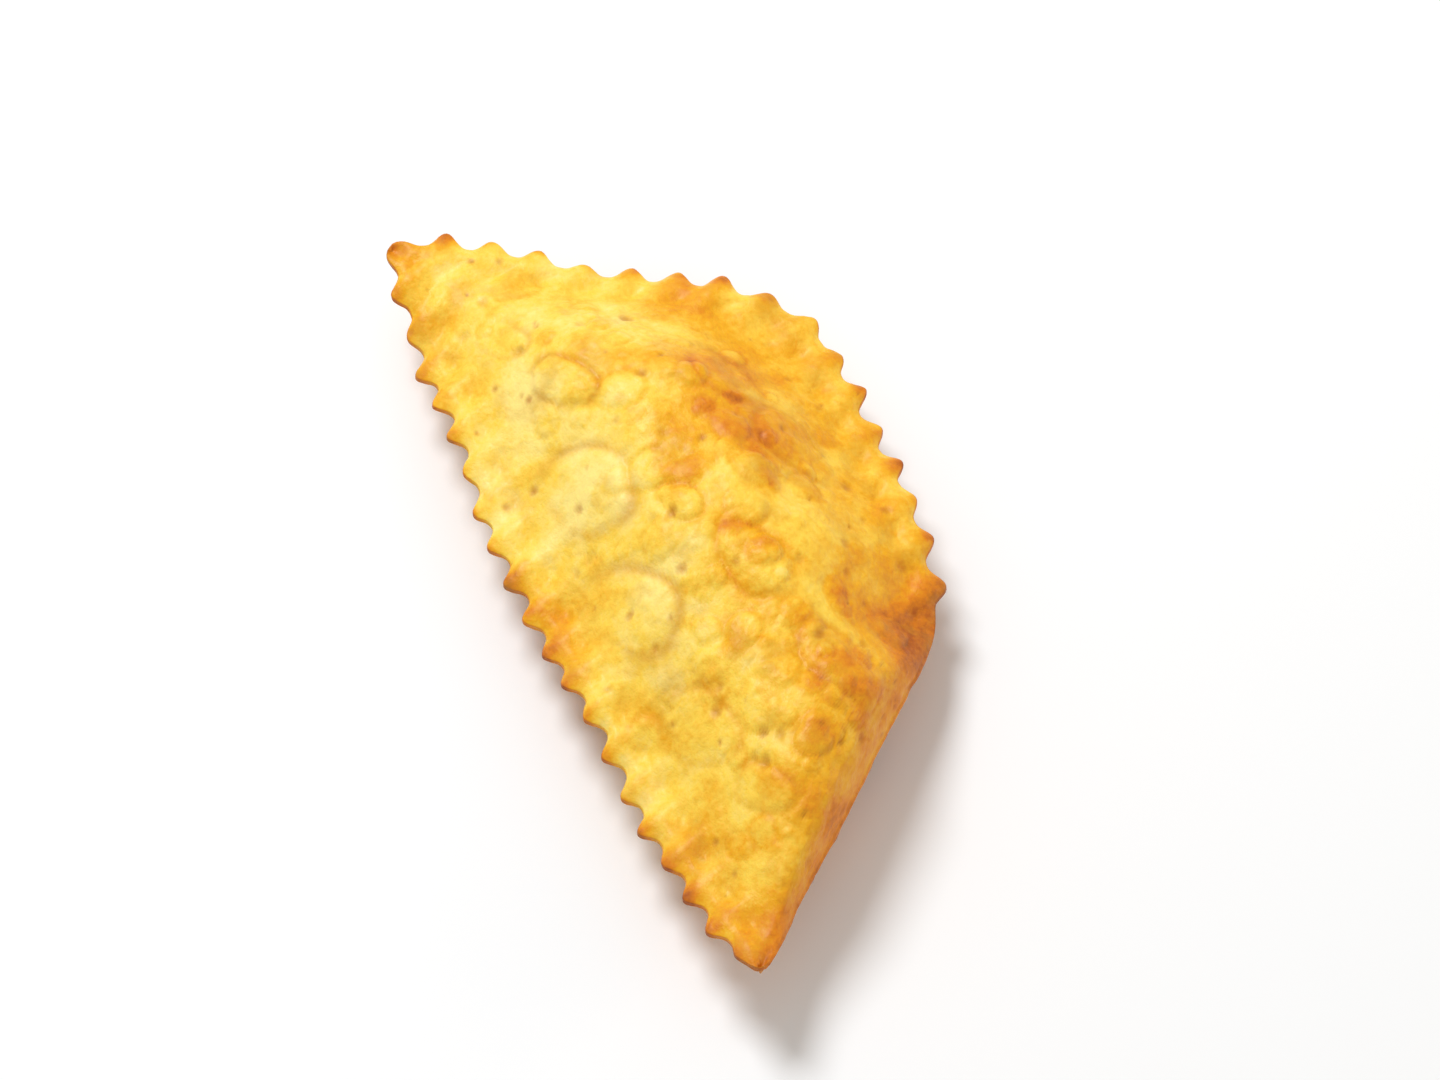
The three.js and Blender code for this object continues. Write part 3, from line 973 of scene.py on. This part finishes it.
# The photograph's view: bearing and height of the eye in degrees, distance in metres, lens in millimetres
VIEW_AZIMUTH = 65.5
VIEW_ELEVATION = 58.0
VIEW_DISTANCE = 0.6
LENS = 152.0

# Lights as (name, bearing from the camera's, height, distance, size, power, tint)
LIGHTS = (
    ("key", 215, 56, 0.8, 0.32, 4.65, (1.0, 0.99, 0.97)),
    ("fill", 25, 32, 1.0, 0.8, 1.5, (1.0, 0.84, 0.64)),
    ("bounce", 105, 14, 0.8, 0.3, 0.95, (1.0, 0.8, 0.56)),
)
WORLD_TINT = (1.0, 0.95, 0.88, 1.0)
WORLD_STRENGTH = 0.45


def add_floor():
    mesh = bpy.data.meshes.new("floor")
    near, far = -FLOOR_REACH, FLOOR_REACH
    corners = [(near, near, 0), (far, near, 0), (far, far, 0), (near, far, 0)]
    mesh.from_pydata(corners, [], [(0, 1, 2, 3)])
    mesh.materials.append(floor_material())
    floor = bpy.data.objects.new("floor", mesh)
    bpy.context.scene.collection.objects.link(floor)


def around(azimuth, elevation, distance):
    """The way from the piece to a place at this bearing, height and distance."""
    turn, rise = math.radians(azimuth), math.radians(elevation)
    level = distance * math.cos(rise)
    return Vector((level * math.sin(turn), -level * math.cos(turn), distance * math.sin(rise)))


def aim(thing, place, target):
    """Puts a camera or a light in its place, turned towards the target."""
    thing.location = place
    thing.rotation_euler = (target - place).to_track_quat("-Z", "Y").to_euler()


def add_camera(target):
    data = bpy.data.cameras.new("camera")
    data.lens = LENS
    camera = bpy.data.objects.new("camera", data)
    bpy.context.scene.collection.objects.link(camera)
    aim(camera, target + around(VIEW_AZIMUTH, VIEW_ELEVATION, VIEW_DISTANCE), target)
    bpy.context.scene.camera = camera


def add_light(name, azimuth, elevation, distance, size, power, tint, target):
    data = bpy.data.lights.new(name, "AREA")
    data.shape = "DISK"
    data.size = size
    data.energy = power
    data.color = tint
    light = bpy.data.objects.new(name, data)
    light.visible_camera = False
    bpy.context.scene.collection.objects.link(light)
    aim(light, target + around(azimuth, elevation, distance), target)


def set_world():
    """Soft light from all round, and colours shown as they are."""
    world = bpy.data.worlds.new("studio")
    world.use_nodes = True
    background = world.node_tree.nodes["Background"]
    background.inputs["Color"].default_value = WORLD_TINT
    background.inputs["Strength"].default_value = WORLD_STRENGTH
    bpy.context.scene.world = world
    bpy.context.scene.view_settings.view_transform = "Standard"


crust = make_crust()
crust.data.materials.append(crust_material())
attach(crust, "root")
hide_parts("pastry")

add_floor()
low, high = (Vector(corner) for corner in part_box("pastry"))
centre = (low + high) / 2
add_camera(centre)
for name, bearing, *values in LIGHTS:
    add_light(name, VIEW_AZIMUTH + bearing, *values, centre)
set_world()
